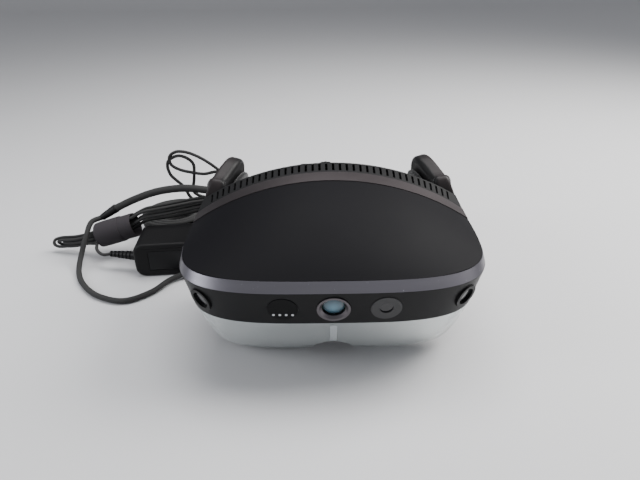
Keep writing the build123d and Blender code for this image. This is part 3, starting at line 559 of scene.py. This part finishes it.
def fold(first, second, x):
    """Half a circle from one strand to another, outermost at x."""
    outward = -1 if x < -150 else 1
    a, b = Vector(lane_point(first, x - 3 * outward)), Vector(lane_point(second, x - 3 * outward))
    middle, half = (a + b) / 2, (a - b) / 2
    middle.x = x - outward * half.length
    half.x = 0
    out = Vector((outward * half.length, 0, 0))
    return [tuple(middle + half * math.cos(t) + out * math.sin(t)) for t in (0.0, 0.8, 1.57, 2.34, 3.14)]


def hank_points():
    """Six strands of the folded lead between its left tip and its right end."""
    points = [(-213.5, 113.6, 14.2)]
    points += strand(0, -221, -249) + fold(0, 1, -256.5)
    points += strand(1, -249, -106) + fold(1, 2, -99)
    points += strand(2, -106, -244) + fold(2, 3, -251.5)
    points += strand(3, -244, -111) + fold(3, 4, -104)
    points += strand(4, -111, -239) + fold(4, 5, -245.5)
    points += strand(5, -239, -108) + [(-102.5, 126.6, 46.2), (-99.8, 130.6, 47), (-103.6, 134, 48)]
    return points


# ---- operators: one for each piece or group ------------------------------
class HEADSET_OT_finishes(bpy.types.Operator):
    """Gives the dome, bar, arms, sensors, yoke and adapter their finishes"""
    bl_idname = "headset.finishes"
    bl_label = "Finishes"

    def execute(self, context):
        shade = colours()
        cover = moulded("cover_black", shade.cover, 0.6, 2600.0, 0.00003, 0.1, gloss=0.1)
        trim = brushed("trim_metal", shade.trim, 0.3)
        rear = brushed("rear_metal", shade.rear_trim, 0.36, 0.8)
        vent = moulded("vent_black", (0.006, 0.006, 0.0066), 0.62)
        bar = moulded("bar_black", shade.bar, 0.4, 3000.0, 0.00002, 0.08, gloss=0.16)
        inner = moulded("inner_plastic", (0.010, 0.010, 0.011), 0.55)
        window = moulded("window_dark", (0.006, 0.006, 0.008), 0.12, 900.0, 0.000004, 0.03, coat=0.6)
        sensor = moulded("sensor_grey", (0.05, 0.05, 0.051), 0.42, 2400.0, 0.00002)
        board = moulded("circuit_board", (0.01, 0.06, 0.03), 0.4)
        steel = brushed("screw_steel", (0.42, 0.42, 0.43), 0.3, 0.9)
        spreader = brushed("spreader_metal", (0.5, 0.5, 0.51), 0.4, 0.9)
        yoke = moulded("yoke_black", (0.006, 0.006, 0.0065), 0.48)
        rubber = moulded("knob_rubber", (0.008, 0.008, 0.0085), 0.78, 1500.0, 0.00006)
        gear = moulded("gear_nylon", (0.62, 0.61, 0.58), 0.45)
        button = moulded("button_grey", (0.025, 0.0245, 0.026), 0.4)
        adapter = moulded("adapter_black", (0.0055, 0.0053, 0.0058), 0.5, 1700.0, 0.00006)
        cord = moulded("cord_black", shade.cord, 0.44, 1900.0, 0.00003)
        strap = moulded("strap_black", (0.0065, 0.0063, 0.0075), 0.5, 1500.0, 0.00005)
        panel = moulded("panel_dark", (0.006, 0.007, 0.012), 0.08, 900.0, 0.000004, 0.02, coat=0.8)
        glass = clear_sheet("display_glass", (0.95, 0.98, 0.98))
        visor = clear_sheet("visor_clear", shade.visor, clearness=0.82)
        ring = brushed("lens_ring", (0.12, 0.11, 0.118), 0.28, 0.9)
        # The lens's bright blue middle is a painted glow.
        lens = lens_with_painted_glow("camera_glass", "camera_lens", (0.10, 0.22, 0.30), (0.02, 0.045, 0.06))
        led = moulded("led_clear", (0.62, 0.63, 0.66), 0.2, 900.0, 0.000005, coat=0.8)
        give(cover, "front_cover")
        give(trim, "front_trim")
        give(rear, "rear_trim")
        give(vent, "vent_grille", "rear_plate")
        give(bar, "sensor_bar")
        give(inner, "lower_housing", "forehead_pad_plate", "display_frame")
        give(window, "depth_lens", "tracker_windows")
        emitter = moulded("emitter_dark", (0.003, 0.003, 0.0034), 0.3, 900.0, 0.000004, 0.03, gloss=0.1)
        give(emitter, "emitter_window")
        give(sensor, "depth_window")
        give(bar, "right_tracker_bezel", "left_tracker_bezel")
        give(board, "sensor_board", "main_board", "adapter_board")
        give(steel, "arm_screws", "housing_screws")
        give(spreader, "heat_spreader")
        give(ring, "camera_ring")
        give(lens, "camera_lens")
        give(led, "emitter_leds")
        give(panel, "display_panel")
        give(glass, "display_glass")
        give(visor, "visor")
        give(yoke, "rear_yoke", "dial_housing")
        give(rubber, "dial_knob")
        give(gear, "dial_pinion", "upper_rack", "lower_rack")
        give(
            button, "volume_up_button", "volume_down_button",
            "brightness_up_button", "brightness_down_button",
        )
        give(adapter, "adapter_case", "adapter_lid", "adapter_inlet")
        give(
            cord, "cable_gland", "tether_cable", "cable_splitter", "data_lead", "data_coil", "data_plug",
            "power_relief", "power_lead", "power_hank", "power_loops", "power_plug",
        )
        give(strap, "hank_wrap")
        give(arm_material("right_arm_grey", 1), "right_arm")
        give(arm_material("left_arm_grey", -1), "left_arm")
        return {"FINISHED"}


# CAD node, its body, and its share of the voxel and swell
PADS = (
    ("forehead_pad", "headset", 1.0),
    ("right_arm_pad", "headset", 0.6),
    ("left_arm_pad", "headset", 0.6),
    ("rear_pad_right", "yoke", 0.8),
    ("rear_pad_left", "yoke", 0.8),
)
PAD_PRESSURE = 4.0
PAD_FRAMES = 12


class HEADSET_OT_pads(bpy.types.Operator):
    """Makes the five padded pieces by inflating their plain solids"""
    bl_idname = "headset.pads"
    bl_label = "Pads"

    def execute(self, context):
        fabric = knitted("pad_fabric", colours().fabric)
        for node, body, share in PADS:
            piece = inflated(node, node + "_cover", sizes().voxel * share, sizes().swell * share)
            give(fabric, piece)
            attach(piece, body)
            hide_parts(node)
        return {"FINISHED"}


def positions(mesh):
    flat = [0.0] * (3 * len(mesh.vertices))
    mesh.vertices.foreach_get("co", flat)
    return [Vector(flat[i:i + 3]) for i in range(0, len(flat), 3)]


def blow_up(piece, low, high, reach):
    """Swells a piece by cloth pressure, by reach at most and inside a box."""
    start = positions(piece.data)
    cloth = piece.modifiers.new("blow_up", "CLOTH")
    cloth.settings.use_pressure = True
    cloth.settings.uniform_pressure_force = PAD_PRESSURE
    cloth.settings.effector_weights.gravity = 0.0
    cloth.settings.quality = 4
    for number in range(1, PAD_FRAMES + 1):
        bpy.context.scene.frame_set(number)
    solved = piece.evaluated_get(bpy.context.evaluated_depsgraph_get())
    moved = positions(solved.data)
    piece.modifiers.remove(cloth)
    for vertex, old, new in zip(piece.data.vertices, start, moved):
        step = new - old
        if step.length > reach:
            step = step.normalized() * reach
        where = old + step
        vertex.co = [min(max(where[i], low[i]), high[i]) for i in range(3)]
    bpy.context.scene.frame_set(1)


def inflated(node, name, voxel, reach):
    """A crowned pad: its plain solid remeshed, drawn in a little and blown up again."""
    piece = merged_copy(node, name)
    apply_modifier(piece, "REMESH", "even", mode="VOXEL", voxel_size=voxel)
    apply_modifier(piece, "SMOOTH", "soften", factor=0.5, iterations=4)
    apply_modifier(piece, "DISPLACE", "draw_in", strength=-reach / 2, mid_level=0.0)
    blow_up(piece, *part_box(node), reach)
    apply_modifier(piece, "SUBSURF", "fine", levels=1, render_levels=1)
    smooth(piece, 60)
    return piece


class HEADSET_OT_tether(bpy.types.Operator):
    """Lays the thick cable from the headset to the splitter"""
    bl_idname = "headset.tether"
    bl_label = "Tether"

    def execute(self, context):
        cord, length = cord_curve("tether", TETHER_ROUTE, sizes().tether)
        cord.data.materials.append(bpy.data.materials["cord_black"])
        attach(cord, "headset")
        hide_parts("tether_cable")
        return {"FINISHED"}


class HEADSET_OT_data_lead(bpy.types.Operator):
    """Lays the data lead round the adapter and coils the rest behind it"""
    bl_idname = "headset.data_lead"
    bl_label = "Data Lead"

    def execute(self, context):
        points = list(DATA_ROUTE) + coil_points()
        cord, length = cord_curve("data_cord", points, sizes().lead)
        cord.data.materials.append(bpy.data.materials["cord_black"])
        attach(cord, "headset")
        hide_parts("data_lead", "data_coil")
        return {"FINISHED"}


class HEADSET_OT_power_lead(bpy.types.Operator):
    """Lays the power lead: folded into a hank, then in loops to its plug"""
    bl_idname = "headset.power_lead"
    bl_label = "Power Lead"

    def execute(self, context):
        points = list(POWER_ROUTE) + hank_points() + list(LOOP_ROUTE)
        cord, length = cord_curve("power_cord", points, sizes().power)
        cord.data.materials.append(bpy.data.materials["cord_black"])
        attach(cord, "headset")
        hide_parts("power_lead", "power_hank", "power_loops")
        return {"FINISHED"}


WRAP_ENDS = ((-208, 119, 20.2), (-174, 119, 30.4))
ADAPTER_PLACE = (-131.2, 100.5, 0)
ADAPTER_TURN = 5.0


class HEADSET_OT_sleeve(bpy.types.Operator):
    """Rolls the strap round the folded lead, with its loose end lapped over"""
    bl_idname = "headset.sleeve"
    bl_label = "Hank Strap"

    def execute(self, context):
        start, end = place(WRAP_ENDS[0]), place(WRAP_ENDS[1])
        long = (end - start).length
        lap = long * 0.64
        profile = (
            (0.0106, 0.0005), (0.0112, 0), (0.0114, 0.0008), (0.0116, 0.006), (0.0116, lap - 0.0008),
            (0.0115, lap), (0.0109, lap + 0.0003), (0.0109, long - 0.001), (0.0107, long),
            (0.0104, long), (0.0103, long - 0.001), (0.0103, 0.001),
        )
        mesh = bpy.data.meshes.new("hank_sleeve")
        edges = [(i, (i + 1) % len(profile)) for i in range(len(profile))]
        mesh.from_pydata([(radius, 0, along) for radius, along in profile], edges, [])
        sleeve = bpy.data.objects.new("hank_sleeve", mesh)
        context.scene.collection.objects.link(sleeve)
        apply_modifier(
            sleeve, "SCREW", "roll", angle=math.radians(360), steps=56, render_steps=56,
            use_merge_vertices=True, use_normal_calculate=True,
        )
        close_mesh(mesh, merge=0.00002)
        sleeve.rotation_euler = (end - start).to_track_quat("Z", "Y").to_euler()
        sleeve.location = start
        settle(sleeve, "hank_sleeve")
        smooth(sleeve, 40)
        give(bpy.data.materials["strap_black"], sleeve)
        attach(sleeve, "headset")
        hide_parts("hank_wrap")
        return {"FINISHED"}


class HEADSET_OT_label(bpy.types.Operator):
    """Sets a blank label into the adapter's front and makes the visor's middle strip"""
    bl_idname = "headset.label"
    bl_label = "Label and Visor Strip"

    def execute(self, context):
        bpy.ops.object.select_all(action="DESELECT")
        bpy.ops.mesh.primitive_cube_add(size=1)
        label = context.object
        label.scale = (0.0514, 0.0003, 0.0174)
        label.location = (0.002, -0.01965, 0.015)
        settle(label, "adapter_label")
        label.rotation_euler = (0, 0, math.radians(ADAPTER_TURN))
        label.location = place(ADAPTER_PLACE)
        settle(label, "adapter_label")
        apply_modifier(label, "BEVEL", "edge", width=0.0001, segments=2)
        give(moulded("label_film", (0.011, 0.011, 0.012), 0.34, 900.0, 0.000006), label)
        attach(label, "headset")

        visor = frame["nodes"]["visor"]
        rows = []
        for step in range(13):
            height = 0.0425 - 0.022 * step / 12
            row = []
            for x in (-0.0022, 0.0, 0.0022):
                hit, where, _normal, _face = visor.ray_cast(Vector((x, -0.4, height)), Vector((0, 1, 0)))
                if not hit:
                    raise RuntimeError(f"the visor has no surface at x {x}, z {height}")
                row.append(where + Vector((0, -0.00045, 0)))
            rows.append(row)
        mesh = bpy.data.meshes.new("visor_strip")
        faces = [
            (3 * r + c, 3 * r + c + 3, 3 * r + c + 4, 3 * r + c + 1) for r in range(12) for c in range(2)
        ]
        mesh.from_pydata([p for row in rows for p in row], [], faces)
        strip = bpy.data.objects.new("visor_strip", mesh)
        context.scene.collection.objects.link(strip)
        apply_modifier(strip, "SOLIDIFY", "thick", thickness=0.0004, offset=-1.0)
        close_mesh(mesh)
        give(clear_sheet("visor_strip", (0.80, 0.84, 0.86), 0.25, 0.5), strip)
        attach(strip, "headset")
        return {"FINISHED"}


# name, place, aim, size, watts and colour
LIGHTS = (
    ("key", (0.75, 0.15, 0.75), (0.0, 0.0, 0.04), (0.6, 0.6), 17.0, (1.0, 0.985, 0.96)),
    ("top", (0.05, 0.1, 1.0), (0.0, 0.0, 0.0), (0.9, 0.5), 10.0, (1.0, 1.0, 1.0)),
    ("side", (-0.8, -0.3, 0.45), (0.0, 0.0, 0.05), (0.3, 0.5), 3.5, (0.95, 0.97, 1.0)),
)
TABLE_REACH = 4.0       # metres to each side and to the front
SWEEP_START = 3.0
SWEEP_RADIUS = 0.8
SWEEP_STEPS = 8
TABLE_DROP = 0.0002     # keeps the table's face clear of what rests on it


def area_light(name, where, aim, size, watts, colour):
    light = bpy.data.lights.new(name, "AREA")
    light.shape = "RECTANGLE"
    light.size, light.size_y = size
    light.energy = watts
    light.color = colour
    lamp = bpy.data.objects.new(name, light)
    bpy.context.scene.collection.objects.link(lamp)
    lamp.location = where
    lamp.rotation_euler = (Vector(aim) - Vector(where)).to_track_quat("-Z", "Y").to_euler()


class HEADSET_OT_stage(bpy.types.Operator):
    """Sets a pale table with a swept back, soft light and the camera"""
    bl_idname = "headset.stage"
    bl_label = "Stage"

    def execute(self, context):
        section = [(-TABLE_REACH, 0.0), (SWEEP_START, 0.0)]
        for step in range(1, SWEEP_STEPS + 1):
            turn = math.radians(90 * step / SWEEP_STEPS)
            back, up = SWEEP_RADIUS * math.sin(turn), SWEEP_RADIUS * (1 - math.cos(turn))
            section.append((SWEEP_START + back, up))
        section.append((SWEEP_START + SWEEP_RADIUS, TABLE_REACH))
        mesh = bpy.data.meshes.new("table")
        points = [(x, y, z - TABLE_DROP) for x in (-TABLE_REACH, TABLE_REACH) for y, z in section]
        count = len(section)
        mesh.from_pydata(points, [], [(i, i + 1, count + i + 1, count + i)[::-1] for i in range(count - 1)])
        table = bpy.data.objects.new("table", mesh)
        context.scene.collection.objects.link(table)
        smooth(table, 40)
        material, tree, shader = blank_material("table_top", tuple(colours().floor), 0.55)
        group = group_node(tree, "moulded_grain", grain_group, Scale=400.0, Roughness=0.55, Spread=0.05)
        tree.links.new(group.outputs["Roughness"], shader.inputs["Roughness"])
        table.data.materials.append(material)

        world = bpy.data.worlds.new("studio")
        world.use_nodes = True
        back = world.node_tree.nodes["Background"]
        back.inputs["Color"].default_value = (0.93, 0.95, 1.0, 1)
        back.inputs["Strength"].default_value = 0.42
        context.scene.world = world
        for light in LIGHTS:
            area_light(*light)

        camera = bpy.data.cameras.new("camera")
        camera.lens = 29.08
        camera.sensor_width = 36
        camera.clip_start = 0.01
        eye = bpy.data.objects.new("camera", camera)
        context.scene.collection.objects.link(eye)
        eye.matrix_world = (
            Matrix.Translation((-0.0075, -0.3016 + SHIFT_Y, 0.2354))
            @ Matrix.Rotation(math.radians(62), 4, "X") @ Matrix.Rotation(math.radians(-0.8), 4, "Z")
        )
        context.scene.camera = eye
        return {"FINISHED"}


class HEADSET_PT_panel(bpy.types.Panel):
    bl_label = "See-through Headset"
    bl_idname = "HEADSET_PT_panel"
    bl_space_type = "VIEW_3D"
    bl_region_type = "UI"
    bl_category = "Headset"

    def draw(self, context):
        for group in (context.scene.headset_colours, context.scene.headset_sizes):
            box = self.layout.box()
            for name in group.__annotations__:
                box.prop(group, name)
        for operator in OPERATORS:
            self.layout.operator(operator.bl_idname)


OPERATORS = (
    HEADSET_OT_finishes, HEADSET_OT_pads, HEADSET_OT_sleeve, HEADSET_OT_label, HEADSET_OT_tether,
    HEADSET_OT_data_lead, HEADSET_OT_power_lead, HEADSET_OT_stage,
)
CLASSES = (HeadsetColours, HeadsetSizes, *OPERATORS, HEADSET_PT_panel)


def register():
    for item in CLASSES:
        bpy.utils.register_class(item)
    bpy.types.Scene.headset_colours = bpy.props.PointerProperty(type=HeadsetColours)
    bpy.types.Scene.headset_sizes = bpy.props.PointerProperty(type=HeadsetSizes)


def unregister():
    del bpy.types.Scene.headset_sizes
    del bpy.types.Scene.headset_colours
    for item in reversed(CLASSES):
        bpy.utils.unregister_class(item)


def main():
    register()
    for operator in OPERATORS:
        area, name = operator.bl_idname.split(".")
        getattr(getattr(bpy.ops, area), name)()


if __name__ == "__main__":
    main()
